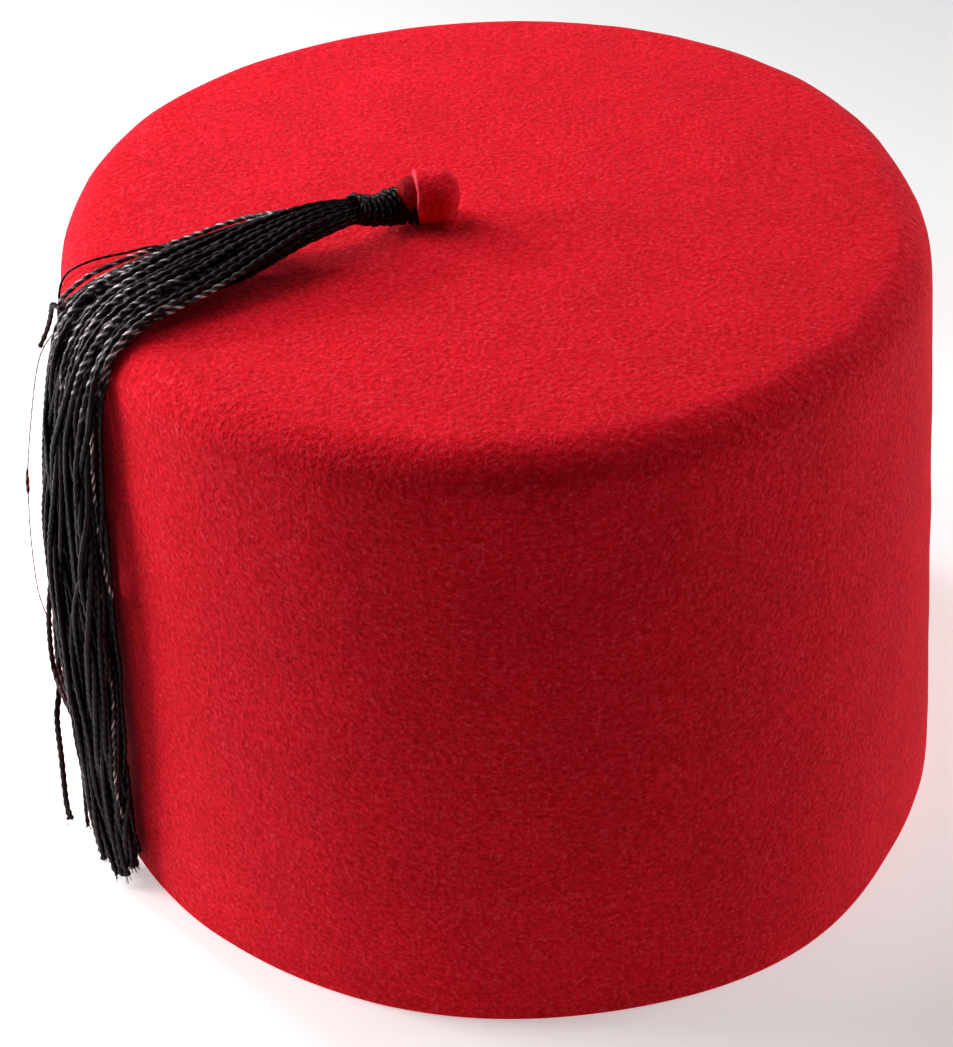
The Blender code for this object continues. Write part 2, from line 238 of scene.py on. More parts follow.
# Loose strands: azimuth and reach from the crown's axis, height, radius
STRAYS = {
    "over_the_top": (
        (-158.0, 0.0560, 0.1302, 0.00026),
        (-163.0, 0.0600, 0.1302, 0.00026),
        (-167.2, 0.0645, 0.1292, 0.00026),
        (-168.4, 0.0700, 0.1280, 0.00026),
        (-168.2, 0.0749, 0.1278, 0.00026),
        (-168.1, 0.0775, 0.1274, 0.00026),
        (-168.6, 0.0797, 0.1263, 0.00026),
        (-169.2, 0.0813, 0.1249, 0.00026),
        (-169.8, 0.0827, 0.1225, 0.00026),
        (-170.2, 0.0836, 0.1190, 0.00026),
        (-170.0, 0.0839, 0.1150, 0.00026),
        (-168.0, 0.0843, 0.1090, 0.00026),
        (-165.0, 0.0851, 0.1030, 0.00026),
        (-161.0, 0.0870, 0.0950, 0.00024),
    ),
    "upper_edge": (
        (-154.5, 0.0370, 0.1358, 0.00030),
        (-157.6, 0.0408, 0.1360, 0.00040),
        (-161.5, 0.0438, 0.1346, 0.00046),
        (-165.3, 0.0466, 0.1330, 0.00050),
        (-167.6, 0.0508, 0.1313, 0.00050),
        (-168.3, 0.0557, 0.1298, 0.00050),
        (-168.4, 0.0592, 0.1289, 0.00050),
        (-167.9, 0.0635, 0.1283, 0.00050),
        (-167.3, 0.0674, 0.1280, 0.00050),
        (-166.0, 0.0716, 0.1280, 0.00050),
        (-164.5, 0.0763, 0.1278, 0.00050),
        (-164.1, 0.0784, 0.1273, 0.00050),
        (-164.0, 0.0804, 0.1262, 0.00050),
        (-164.6, 0.0822, 0.1244, 0.00050),
        (-165.8, 0.0837, 0.1214, 0.00050),
        (-165.0, 0.0848, 0.1150, 0.00050),
        (-162.5, 0.0868, 0.1060, 0.00048),
        (-160.5, 0.0885, 0.0960, 0.00044),
    ),
    "upper_inner": (
        (-154.5, 0.0380, 0.1352, 0.00030),
        (-157.7, 0.0418, 0.1355, 0.00040),
        (-161.5, 0.0445, 0.1340, 0.00046),
        (-163.5, 0.0480, 0.1325, 0.00050),
        (-165.2, 0.0522, 0.1309, 0.00050),
        (-165.7, 0.0567, 0.1296, 0.00050),
        (-165.7, 0.0604, 0.1288, 0.00050),
        (-165.2, 0.0647, 0.1283, 0.00050),
        (-164.6, 0.0687, 0.1280, 0.00050),
        (-163.3, 0.0728, 0.1280, 0.00050),
        (-162.2, 0.0771, 0.1277, 0.00050),
        (-162.0, 0.0789, 0.1271, 0.00050),
        (-162.0, 0.0807, 0.1260, 0.00050),
        (-163.1, 0.0822, 0.1243, 0.00050),
        (-164.5, 0.0836, 0.1212, 0.00050),
        (-163.0, 0.0852, 0.1140, 0.00048),
        (-160.5, 0.0868, 0.1050, 0.00044),
    ),
    "short_end": (
        (-160.0, 0.0846, 0.1255, 0.00046),
        (-163.5, 0.0851, 0.1235, 0.00050),
        (-166.3, 0.0853, 0.1205, 0.00050),
        (-168.2, 0.0858, 0.1168, 0.00050),
        (-169.4, 0.0868, 0.1132, 0.00048),
        (-170.0, 0.0880, 0.1104, 0.00044),
        (-170.2, 0.0887, 0.1090, 0.00038),
    ),
    "bowed_thread": (
        (-167.0, 0.0835, 0.1165, 0.00016),
        (-171.0, 0.0880, 0.1080, 0.00012),
        (-172.0, 0.0906, 0.1009, 0.00011),
        (-172.0, 0.0936, 0.0884, 0.00011),
        (-171.0, 0.0950, 0.0820, 0.00012),
        (-170.2, 0.0955, 0.0803, 0.00030),
        (-170.0, 0.0957, 0.0789, 0.00042),
        (-169.8, 0.0959, 0.0768, 0.00038),
        (-169.5, 0.0961, 0.0752, 0.00013),
        (-168.0, 0.0970, 0.0667, 0.00011),
        (-166.0, 0.0975, 0.0566, 0.00011),
        (-164.5, 0.0965, 0.0500, 0.00012),
    ),
    "outer_upper": (
        (-160.0, 0.0925, 0.0720, 0.00050),
        (-161.5, 0.0950, 0.0640, 0.00054),
        (-162.0, 0.0966, 0.0555, 0.00056),
        (-162.6, 0.0973, 0.0480, 0.00056),
        (-162.2, 0.0976, 0.0430, 0.00056),
        (-160.2, 0.0977, 0.0408, 0.00056),
        (-157.2, 0.0977, 0.0400, 0.00056),
        (-154.6, 0.0975, 0.0385, 0.00056),
        (-153.8, 0.0971, 0.0345, 0.00054),
        (-154.4, 0.0965, 0.0275, 0.00052),
        (-155.5, 0.0958, 0.0180, 0.00048),
    ),
    "outer_middle": (
        (-160.5, 0.0915, 0.0700, 0.00048),
        (-162.8, 0.0938, 0.0610, 0.00054),
        (-163.2, 0.0953, 0.0530, 0.00056),
        (-163.6, 0.0960, 0.0455, 0.00056),
        (-163.4, 0.0964, 0.0408, 0.00056),
        (-161.2, 0.0965, 0.0385, 0.00056),
        (-158.6, 0.0963, 0.0370, 0.00056),
        (-157.4, 0.0959, 0.0335, 0.00054),
        (-158.4, 0.0950, 0.0245, 0.00050),
    ),
    "outer_inner": (
        (-161.5, 0.0905, 0.0690, 0.00046),
        (-164.4, 0.0928, 0.0590, 0.00052),
        (-165.0, 0.0941, 0.0510, 0.00054),
        (-165.3, 0.0948, 0.0430, 0.00054),
        (-164.2, 0.0951, 0.0388, 0.00054),
        (-162.0, 0.0951, 0.0362, 0.00054),
        (-160.8, 0.0948, 0.0325, 0.00052),
        (-161.2, 0.0940, 0.0250, 0.00048),
    ),
    "outer_lower": (
        (-163.5, 0.0950, 0.0470, 0.00050),
        (-163.0, 0.0966, 0.0400, 0.00056),
        (-162.2, 0.0975, 0.0349, 0.00062),
        (-161.0, 0.0991, 0.0297, 0.00064),
        (-161.0, 0.0997, 0.0195, 0.00064),
        (-160.0, 0.1006, 0.0092, 0.00062),
        (-160.0, 0.1005, 0.0040, 0.00060),
    ),
    "inner_lower": (
        (-158.5, 0.0950, 0.0330, 0.00036),
        (-158.6, 0.0960, 0.0244, 0.00040),
        (-158.0, 0.0969, 0.0141, 0.00042),
        (-158.0, 0.0974, 0.0078, 0.00042),
        (-157.4, 0.0977, 0.0045, 0.00036),
    ),
    "front_upper": (
        (-147.0, 0.0872, 0.1140, 0.00028),
        (-145.9, 0.0890, 0.1100, 0.00032),
        (-145.9, 0.0893, 0.1070, 0.00032),
        (-146.4, 0.0897, 0.1004, 0.00034),
        (-146.7, 0.0900, 0.0925, 0.00034),
        (-146.5, 0.0902, 0.0852, 0.00034),
        (-146.0, 0.0905, 0.0790, 0.00034),
        (-146.2, 0.0898, 0.0740, 0.00030),
    ),
    "front_lower": (
        (-147.2, 0.0895, 0.0800, 0.00030),
        (-146.2, 0.0924, 0.0750, 0.00034),
        (-147.0, 0.0926, 0.0670, 0.00034),
        (-147.8, 0.0922, 0.0600, 0.00034),
        (-147.0, 0.0926, 0.0540, 0.00034),
        (-146.7, 0.0931, 0.0490, 0.00034),
        (-146.6, 0.0942, 0.0420, 0.00034),
        (-146.6, 0.0949, 0.0350, 0.00034),
        (-146.4, 0.0957, 0.0278, 0.00032),
        (-147.2, 0.0950, 0.0195, 0.00030),
    ),
}
# How pale the strands are that are paler than the rest: painted highlight on their crests
PAINTED_GLINT_STRAYS = {
    "upper_edge": 2.4,
    "upper_inner": 2.0,
    "front_upper": 3.0,
    "front_lower": 3.0,
    "bowed_thread": 2.6,
}


# ---------------------------------------------------------------- shapes


def unit(rows):
    """Rows of directions at length 1."""
    return rows / np.maximum(np.linalg.norm(rows, axis=-1, keepdims=True), 1e-12)


def mesh_object(name, points, faces, finish):
    mesh = bpy.data.meshes.new(name)
    mesh.from_pydata(points, [], faces)
    mesh.validate()
    mesh.shade_smooth()
    mesh.materials.append(finish)
    piece = bpy.data.objects.new(name, mesh)
    bpy.context.scene.collection.objects.link(piece)
    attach(piece, "root")
    return piece


def spread_along(rows, step):
    """Rows that start with a place, filled in smoothly at even steps, and the distance at each."""
    leg = np.linalg.norm(np.diff(rows[:, :3], axis=0), axis=1)
    along = np.concatenate([[0.0], np.cumsum(leg)])
    count = max(2, int(round(along[-1] / step)) + 1)
    even = np.linspace(0.0, along[-1], count)
    row = np.clip(np.searchsorted(along, even, side="right") - 1, 0, len(rows) - 2)
    share = ((even - along[row]) / leg[row])[:, None]
    before = rows[np.maximum(row - 1, 0)]
    start = rows[row]
    end = rows[row + 1]
    after = rows[np.minimum(row + 2, len(rows) - 1)]
    smooth = 0.5 * (
        2 * start
        + (end - before) * share
        + (2 * before - 5 * start + 4 * end - after) * share**2
        + (3 * start - before - 3 * end + after) * share**3
    )
    return smooth, even


def turned(profile, columns):
    """Points and faces of a (radius, height) profile turned round Z, its two ends on the axis."""
    angle = 2 * math.pi * np.arange(columns) / columns
    ring = np.stack([np.cos(angle), np.sin(angle), np.zeros(columns)], axis=1)
    points = [np.array([[0.0, 0.0, profile[0][1]]])]
    points += [ring * radius + [0.0, 0.0, height] for radius, height in profile[1:-1]]
    points.append(np.array([[0.0, 0.0, profile[-1][1]]]))
    rings = len(profile) - 2
    last = 1 + rings * columns
    faces = []
    for k in range(columns):
        beside = (k + 1) % columns
        faces.append((0, 1 + k, 1 + beside))
        for row in range(rings - 1):
            here = 1 + row * columns
            faces.append((here + beside, here + k, here + columns + k, here + columns + beside))
        faces.append((last, last - columns + beside, last - columns + k))
    return np.concatenate(points), faces


class Cords:
    """Twisted two-ply cords or plain hairs, gathered into one mesh."""

    def __init__(self, sides=CORD_SIDES, ring=CORD_RING):
        self.sides = sides
        self.ring = ring
        self.points = []
        self.faces = []
        self.map = []
        self.shade = []
        self.count = 0

    def add(self, route, upright, radius, turn=0.0, twist=CORD_TWIST, shade=0.5, ply=CORD_PLY, opened=0.0):
        """One cord along a route. Radius and shade may vary by row; its plies open over the last stretch."""
        radii = np.broadcast_to(radius, len(route))
        shades = np.broadcast_to(shade, len(route))
        rows, along = spread_along(np.column_stack([route, upright, radii, shades]), self.ring)
        line = rows[:, :3]
        thick = rows[:, 6]
        way = unit(np.gradient(line, axis=0))
        side = unit(np.cross(way, rows[:, 3:6]))
        up = np.cross(side, way)
        angle = 2 * math.pi * np.arange(self.sides) / self.sides
        spin = turn + 2 * math.pi * along / twist
        lobed = np.full(len(along), ply)
        if opened:
            near_end = np.clip(1.0 - (along[-1] - along) / opened, 0.0, 1.0)
            lobed = ply + OPENED_PLY * near_end
            thick = thick * (1.0 + OPENED_WIDTH * near_end)
        lobe = 1.0 + lobed[:, None] * np.cos(2 * angle)[None, :]
        turned_by = angle[None, :] + spin[:, None]
        rise = up[:, None, :] * np.cos(turned_by)[:, :, None]
        slide = side[:, None, :] * np.sin(turned_by)[:, :, None]
        ring = line[:, None, :] + (rise + slide) * (thick[:, None] * lobe)[:, :, None]
        start_cap = line[0] - way[0] * thick[0] * 0.5
        end_cap = line[-1] + way[-1] * thick[-1] * 0.5
        count = len(line)
        self.points.append(np.concatenate([ring.reshape(-1, 3), [start_cap, end_cap]]))
        self.shade.append(np.concatenate([np.repeat(rows[:, 7], self.sides), rows[[0, -1], 7]]))
        k = np.arange(self.sides)
        beside = (k + 1) % self.sides
        here = self.count + np.arange(count - 1)[:, None] * self.sides
        there = here + self.sides
        quads = np.stack([here + k, here + beside, there + beside, there + k], axis=2)
        self.faces.extend(quads.reshape(-1, 4).tolist())
        u = np.stack([k, k + 1, k + 1, k], axis=1) / self.sides
        u = np.broadcast_to(u, (count - 1, *u.shape))
        v = np.stack([along[:-1], along[:-1], along[1:], along[1:]], axis=1) / twist
        v = np.broadcast_to(v[:, None, :], u.shape)
        self.map.append(np.stack([u, v], axis=3).reshape(-1, 2))
        low = self.count + count * self.sides
        last = low - self.sides
        for a, b in zip(k.tolist(), beside.tolist()):
            self.faces.append([low, self.count + b, self.count + a])
            self.faces.append([low + 1, last + a, last + b])
        self.map.append(np.zeros((6 * self.sides, 2)))
        self.count += count * self.sides + 2

    def build(self, name, finish):
        points = np.concatenate(self.points)
        piece = mesh_object(name, points.tolist(), self.faces, finish)
        uv = piece.data.uv_layers.new(name="cord_map")
        uv.data.foreach_set("uv", np.concatenate(self.map).astype(np.float32).ravel())
        # shade: the cord's tone, and above 1 how much painted highlight its crests get
        shade = piece.data.attributes.new("shade", "FLOAT", "POINT")
        shade.data.foreach_set("value", np.concatenate(self.shade).astype(np.float32))
        return piece


# ---------------------------------------------------------------- materials


class Nodes:
    """A short way to write a node material."""

    def __init__(self, name):
        self.material = bpy.data.materials.new(name)
        self.material.use_nodes = True
        self.tree = self.material.node_tree
        self.shader = self.tree.nodes["Principled BSDF"]

    def add(self, kind, settings=None, **inputs):
        node = self.tree.nodes.new(kind)
        for key, value in (settings or {}).items():
            setattr(node, key, value)
        for key, value in inputs.items():
            self.set(node.inputs[key.replace("_", " ")], value)
        return node

    def set(self, socket, value):
        if isinstance(value, bpy.types.NodeSocket):
            self.tree.links.new(value, socket)
        else:
            socket.default_value = value

    def noise(self, where, size, detail=2.0, roughness=0.5):
        """Noise whose features are about size metres across."""
        scale = 1.0 / size
        node = self.add("ShaderNodeTexNoise", Vector=where, Scale=scale, Detail=detail, Roughness=roughness)
        return node.outputs["Fac"]

    def math(self, operation, a, b=0.0):
        node = self.add("ShaderNodeMath", {"operation": operation})
        self.set(node.inputs[0], a)
        self.set(node.inputs[1], b)
        return node.outputs[0]

    def spread(self, value, low, high, to_low=0.0, to_high=1.0):
        """The value's range from low to high, eased to another range."""
        node = self.add("ShaderNodeMapRange", {"interpolation_type": "SMOOTHSTEP"})
        self.set(node.inputs["Value"], value)
        node.inputs["From Min"].default_value = low
        node.inputs["From Max"].default_value = high
        node.inputs["To Min"].default_value = to_low
        node.inputs["To Max"].default_value = to_high
        return node.outputs["Result"]

    def mix(self, share, a, b):
        node = self.add("ShaderNodeMix", {"data_type": "RGBA"})
        self.set(node.inputs[0], share)
        self.set(node.inputs[6], a)
        self.set(node.inputs[7], b)
        return node.outputs[2]

    def bump(self, height, strength, distance):
        node = self.add("ShaderNodeBump", Height=height, Strength=strength, Distance=distance)
        return node.outputs["Normal"]

    def finish(self, color, roughness, normal=None):
        self.set(self.shader.inputs["Base Color"], color)
        self.set(self.shader.inputs["Roughness"], roughness)
        if normal is not None:
            self.set(self.shader.inputs["Normal"], normal)
        return self.material


def felt_material(name, painted_shade_brightness=1.0):
    """Pressed wool: fine grains of deep and light red, a few pale fibres, and a matt nap."""
    n = Nodes(name)
    where = n.add("ShaderNodeTexCoord").outputs["Object"]
    cut = n.add("ShaderNodeAttribute", {"attribute_name": "cut"}).outputs["Fac"]
    grain = n.noise(where, FELT_GRAIN, detail=3.0, roughness=0.6)
    fine = n.noise(where, FELT_FIBRE, detail=2.0, roughness=0.6)
    cloud = n.noise(where, FELT_CLOUD, detail=3.0)
    mottled = n.math("ADD", n.math("MULTIPLY", grain, 0.75), n.math("MULTIPLY", fine, 0.25))
    body = n.mix(n.spread(mottled, 0.36, 0.62), FELT_DEEP, FELT_RED)
    fleck = n.spread(n.noise(where, FELT_FLECK, detail=2.0), 0.48, 0.80)
    body = n.mix(n.math("MULTIPLY", fleck, 0.60), body, FELT_LIGHT)
    # the cut edge is painted paler, partly as cut felt and partly as a painted highlight on the lit edge
    body = n.mix(n.math("MULTIPLY", cut, n.spread(fine, 0.3, 0.7, 0.25, 0.85)), body, FELT_CUT_AND_HIGHLIGHT)
    shade = n.spread(cloud, 0.3, 0.7, 0.94, 1.04)
    # a brightness below 1 darkens this whole copy of the felt as painted shade
    tone = n.add("ShaderNodeHueSaturation", Color=body, Value=n.math("MULTIPLY", shade, painted_shade_brightness))
    normal = n.bump(mottled, 0.75, FELT_RELIEF)
    n.shader.inputs["Specular IOR Level"].default_value = 0.08
    n.shader.inputs["Sheen Weight"].default_value = 0.12
    n.shader.inputs["Sheen Roughness"].default_value = 0.45
    n.shader.inputs["Sheen Tint"].default_value = (1.0, 0.18, 0.25, 1.0)
    return n.finish(tone.outputs["Color"], n.spread(grain, 0.3, 0.7, 0.95, 0.82), normal)


def cord_material(name):
    """Black rayon with a silky shine, its filaments running along each ply; painted highlights on its
    crests.
    """
    n = Nodes(name)
    uv = n.add("ShaderNodeUVMap", {"uv_map": "cord_map"}).outputs["UV"]
    part = n.add("ShaderNodeSeparateXYZ", Vector=uv)
    shade = n.add("ShaderNodeAttribute", {"attribute_name": "shade"}).outputs["Fac"]
    round_cord = n.math("MULTIPLY", part.outputs["X"], FILAMENTS)
    along_cord = n.math("MULTIPLY", part.outputs["Y"], FILAMENT_SLANT)
    filament = n.math("ADD", round_cord, along_cord)
    wave = n.math("SINE", n.math("MULTIPLY", filament, 2 * math.pi))
    where = n.add("ShaderNodeTexCoord").outputs["Object"]
    dust = n.noise(where, CORD_DUST, detail=3.0)
    color = n.mix(n.math("MULTIPLY", shade, dust), CORD_DARK, CORD_LIGHT)
    # painted highlight: where shade is over 1 the ply crests are painted pale, in patches
    crest = n.math("COSINE", n.math("MULTIPLY", part.outputs["X"], 4 * math.pi))
    crest = n.spread(crest, 0.0, 0.95, 0.05, 1.0)
    glint_patch = n.spread(n.noise(where, CORD_GLINT_PATCH, detail=2.0), 0.44, 0.60, 0.08, 1.0)
    pale = n.math("MULTIPLY", n.spread(shade, 1.0, 3.0), n.math("MULTIPLY", crest, glint_patch))
    color = n.mix(pale, color, CORD_PAINTED_GLINT)
    normal = n.bump(n.math("ADD", wave, dust), 0.15, CORD_RELIEF)
    n.shader.inputs["Specular IOR Level"].default_value = 0.12
    return n.finish(color, n.spread(dust, 0.3, 0.7, 0.20, 0.32), normal)


def floor_material():
    """Pale matt floor, with a glow round the hat and far from it."""
    n = Nodes("pale_floor")
    where = n.add("ShaderNodeTexCoord").outputs["Object"]
    color = n.mix(n.noise(where, FLOOR_GRAIN, detail=4.0), FLOOR_DARK, FLOOR_LIGHT)
    length = n.add("ShaderNodeVectorMath", {"operation": "LENGTH"})
    n.set(length.inputs[0], where)
    far = length.outputs["Value"]
    n.shader.inputs["Emission Color"].default_value = (1.0, 1.0, 1.0, 1.0)
    glow = n.math("ADD", n.spread(far, *FLOOR_POOL), n.spread(far, *FLOOR_FAR))
    n.set(n.shader.inputs["Emission Strength"], glow)
    return n.finish(color, 0.8)


# ---------------------------------------------------------------- crown


def tree_of(node):
    """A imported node's faces, ready to be struck by rays."""
    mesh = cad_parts[node].data
    return BVHTree.FromPolygons([v.co for v in mesh.vertices], [list(p.vertices) for p in mesh.polygons])


CROWN = tree_of("crown")
CROWN_LOW, CROWN_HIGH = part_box("crown")
AXIS = (CROWN_LOW + CROWN_HIGH) / 2
TOP = CROWN_HIGH.z
HAT_RADIUS = (CROWN_HIGH.x - CROWN_LOW.x) / 2


def struck(start, way):
    """Where a ray meets the crown."""
    return CROWN.ray_cast(start, way)[0]


def wall_at(azimuth, z, reach=0.2):
    """The crown's outer face there, seen from outside."""
    out = Vector((math.cos(azimuth), math.sin(azimuth), 0.0))
    foot = Vector((AXIS.x, AXIS.y, z))
    return struck(foot + out * reach, -out)


def felt_rings():
    """Rings of points over the outer face, round the rim and back over the inner face."""
    level = TOP - EDGE_ROUNDING
    outs = []
    cores = []
    for column in range(CROWN_COLUMNS):
        azimuth = 2 * math.pi * column / CROWN_COLUMNS
        out = Vector((math.cos(azimuth), math.sin(azimuth), 0.0))
        outs.append(out)
        cores.append(wall_at(azimuth, level) - out * EDGE_ROUNDING)
    up = Vector((0.0, 0.0, 1.0))
    middle = Vector((AXIS.x, AXIS.y, level))
    lines = []
    for i in range(1, TOP_RINGS):
        lines.append([(middle.lerp(core, i / TOP_RINGS), up) for core in cores])
    for i in range(EDGE_RINGS + 1):
        turn = math.radians(90.0 * (1 - i / EDGE_RINGS))
        lines.append([(core, out * math.cos(turn) + up * math.sin(turn)) for core, out in zip(cores, outs)])
    for i in range(1, WALL_RINGS + 1):
        z = level * (1 - i / WALL_RINGS) + 2 * RIM_CORNER * i / WALL_RINGS
        lines.append([(Vector((core.x, core.y, z)), out) for core, out in zip(cores, outs)])
    outer = [[struck(start + way * PROBE, -way) for start, way in line] for line in lines]
    inner = [[struck(start, way) for start, way in line] for line in lines]
    rim = []
    for across, rise in RIM_FORM:
        ring = [a.lerp(b, across) for a, b in zip(outer[-1], inner[-1])]
        rim.append([Vector((p.x, p.y, rise * RIM_CORNER)) for p in ring])
    top = struck(middle + up * PROBE, -up)
    under = struck(middle, up)
    return top, outer + rim + inner[::-1], under


def settle(piece, size, depth, free):
    """Applies a felt piece's modifiers, then the slow unevenness of pressed felt where free says so."""
    fine = bpy.data.meshes.new_from_object(piece.evaluated_get(bpy.context.evaluated_depsgraph_get()))
    piece.modifiers.clear()
    piece.data = fine
    places = [vertex.co.copy() for vertex in fine.vertices]
    normals = [vertex.vector.copy() for vertex in fine.vertex_normals]
    for i, (place, normal) in enumerate(zip(places, normals)):
        if free(place):
            rise = noise.noise(place / size) + 0.5 * noise.noise(place / size * 2.3)
            places[i] = place + normal * rise * depth
    places = np.array(places, np.float32)
    fine.vertices.foreach_set("co", places.ravel())
    fine.update()
    fine.shade_smooth()
    return places


def mark_cut(piece, share):
    """Where the felt's cut edge shows, from 0 to 1 at each point."""
    cut = piece.data.attributes.new("cut", "FLOAT", "POINT")
    cut.data.foreach_set("value", np.clip(share, 0.0, 1.0).astype(np.float32))


def build_crown(finish):
    top, rings, under = felt_rings()
    points = [top] + [p for ring in rings for p in ring] + [under]
    n = CROWN_COLUMNS
    faces = []
    for k in range(n):
        beside = (k + 1) % n
        faces.append((0, 1 + k, 1 + beside))
        for row in range(len(rings) - 1):
            here = 1 + row * n
            faces.append((here + beside, here + k, here + n + k, here + n + beside))
        last = 1 + (len(rings) - 1) * n
        faces.append((len(points) - 1, last + beside, last + k))
    piece = mesh_object("felt_crown", [tuple(p) for p in points], faces, finish)
    soft = piece.modifiers.new("Soft", "SUBSURF")
    soft.levels = soft.render_levels = FELT_SMOOTHING
    places = settle(piece, UNEVEN_SIZE, UNEVEN_DEPTH, lambda place: place.z > RIM_CORNER)
    mark_cut(piece, 1.0 - places[:, 2] / CUT_REACH)
    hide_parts("crown")


# ---------------------------------------------------------------- stem


def stem_way():
    """From the stem's mouth to its domed end."""
    turn = math.radians(STEM_AZIMUTH)
    return Vector((math.cos(turn), math.sin(turn), 0.0))


def in_stem_axes(points, rise=0.0):
    """Points given about the stem's mouth, its Z towards the domed end, taken to the hat's frame."""
    turn = stem_way().to_track_quat("Z", "Y").to_matrix()
    origin = STEM_MOUTH + Vector((0.0, 0.0, rise))
    return np.array(points) @ np.array(turn).T + np.array(origin)


def stem_profile():
    """Domed end, side, cut mouth and the socket in it."""
    points = [(0.0, STEM_LENGTH)]
    for turn in np.radians(np.linspace(80.0, 0.0, 8)):
        points.append((STEM_RADIUS * math.cos(turn), STEM_LENGTH - STEM_DOME * (1 - math.sin(turn))))
    for share in (0.75, 0.5, 0.25, 0.08):
        points.append((STEM_RADIUS, (STEM_LENGTH - STEM_DOME) * share))
    points += [(STEM_RADIUS - 0.0002, 0.0), (STEM_BORE, 0.0), (STEM_BORE, STEM_SOCKET), (0.0, STEM_SOCKET)]
    return points


def foot_shell():
    """The flared foot that joins the stem to the crown's top."""
    base = TOP - FOOT_SUNK
    profile = [(0.0, STEM_MOUTH.z)]
    for radius, height in FOOT_FORM:
        profile.append((radius, TOP + height))
    profile += [(profile[-1][0], base), (0.0, base)]
    points, faces = turned(profile, STEM_COLUMNS)
    middle = STEM_MOUTH + stem_way() * FOOT_FROM_MOUTH
    return points + [middle.x, middle.y, 0.0], faces


def fused(name, shells, finish):
    """One soft felt piece from closed shells of points and faces that overlap."""
    points = []
    faces = []
    for shell_points, shell_faces in shells:
        faces += [tuple(i + len(points) for i in face) for face in shell_faces]
        points += [tuple(p) for p in shell_points]
    piece = mesh_object(name, points, faces, finish)
    fuse = piece.modifiers.new("Fuse", "REMESH")
    fuse.mode = "VOXEL"
    fuse.voxel_size = STEM_VOXEL
    soften = piece.modifiers.new("Soften", "SMOOTH")
    soften.factor = 0.5
    soften.iterations = 4
    return piece


def build_stem(finish):
    points, faces = turned(stem_profile(), STEM_COLUMNS)
    piece = fused("felt_stem", [(in_stem_axes(points), faces), foot_shell()], finish)
    places = settle(piece, STEM_UNEVEN_SIZE, STEM_UNEVEN_DEPTH, lambda place: True)
    inward = (places - np.array(STEM_MOUTH)) @ np.array(stem_way())
    mark_cut(piece, (CUT_REACH - np.abs(inward)) / (0.6 * CUT_REACH))
    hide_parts("felt_stub")


def build_tongue(finish):
    points, faces = turned([(radius, -out) for radius, out in TONGUE], STEM_COLUMNS)
    piece = fused("felt_tongue", [(in_stem_axes(points, TONGUE_RISE), faces)], finish)
    settle(piece, STEM_UNEVEN_SIZE, STEM_UNEVEN_DEPTH, lambda place: True)
    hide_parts("tassel_binding")


# ---------------------------------------------------------------- binding


def neck_route():
    """The neck's middle line, from inside the felt tongue to where the cords come free."""
    start = STEM_MOUTH - stem_way() * NECK_START - Vector((0.0, 0.0, NECK_DROP))
    middle = (start + NECK_END) / 2 - Vector((0.0, 0.0, NECK_SAG))
    return [tuple(start), tuple(middle), tuple(NECK_END)]


def build_whipping(finish):
    """Cord wound round the tongue and the neck in slightly uneven turns, its two ends tucked in."""
    first = STEM_MOUTH - stem_way() * WHIP_START - Vector((0.0, 0.0, WHIP_DROP))
    line, along = spread_along(np.array([tuple(first)] + neck_route()), WHIP_PITCH / 24)
    share = along / along[-1]
    way = unit(np.gradient(line, axis=0))
    side = unit(np.cross(way, [0.0, 0.0, 1.0]))
    up = np.cross(side, way)
    drift, waves = WHIP_DRIFT
    turn = 2 * math.pi * along / WHIP_PITCH + drift * np.sin(2 * math.pi * waves * share)
    form = np.array(WHIP_FORM)
    reach = np.interp(share, form[:, 0], form[:, 1])
    reach += WHIP_STRAY * (np.sin(turn / 3.7 + 1.0) + np.sin(turn / 1.9))
    tucked, least = WHIP_TUCK
    reach *= least + (1 - least) * np.clip(np.minimum(share, 1 - share) / tucked, 0.0, 1.0)
    out = up * np.cos(turn)[:, None] + side * np.sin(turn)[:, None]
    whipping = Cords()
    whipping.add(line + out * reach[:, None], out, WHIP_RADIUS, twist=WHIP_TWIST, shade=0.7, ply=0.20)
    piece = whipping.build("cord_whipping", finish)
    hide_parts("tassel_binding")


# ---------------------------------------------------------------- tassel


def off_felt(points):
    """Unit directions straight off the felt at points near it."""
    rows = [Vector(point) - CROWN.find_nearest(Vector(point))[0] for point in points]
    return unit(np.array(rows))


def swell(along):
    """Share of its full thickness that a cord has at a distance from the neck's start."""
    rows = np.array(CORD_SWELL)
    return np.interp(along, rows[:, 0], rows[:, 1])


def lay_stations():
    """Centre, across, off, (width, depth) and distance along the bundle, at even steps."""
    core = 2 * NECK_CORE
    rows = [(*point, core, core) for point in neck_route()]
    for x, y, lift, width, depth in TOP_ROUTE:
        rows.append((x, y, TOP + lift, width, depth))
    for azimuth, z, standoff, width, depth in SIDE_ROUTE:
        turn = math.radians(azimuth)
        wall = wall_at(turn, z)
        x = wall.x + standoff * math.cos(turn)
        y = wall.y + standoff * math.sin(turn)
        rows.append((x, y, z, width, depth))
    rows = np.array(rows)
    length = np.linalg.norm(np.diff(rows[:, :3], axis=0), axis=1).sum()
    fine, along = spread_along(rows, length / LAY_STEPS)
    centre = fine[:, :3]
    way = unit(np.gradient(centre, axis=0))
    across = unit(np.cross(way, off_felt(centre)))
    off = unit(np.cross(across, way))
    return centre, across, off, fine[:, 3:5], along


def push_apart(cords, gap):
    """Moves points of different cords at one station out of each other."""
    between = cords[:, None] - cords[None, :]
    far = np.linalg.norm(between, axis=3)
    lack = np.clip(gap[None, None, :] - far, 0.0, None)
    lack[far < 1e-9] = 0.0
    push = between / np.maximum(far, 1e-9)[..., None] * (lack * 0.5)[..., None]
    return cords + push.sum(axis=1) * SETTLING_PUSH


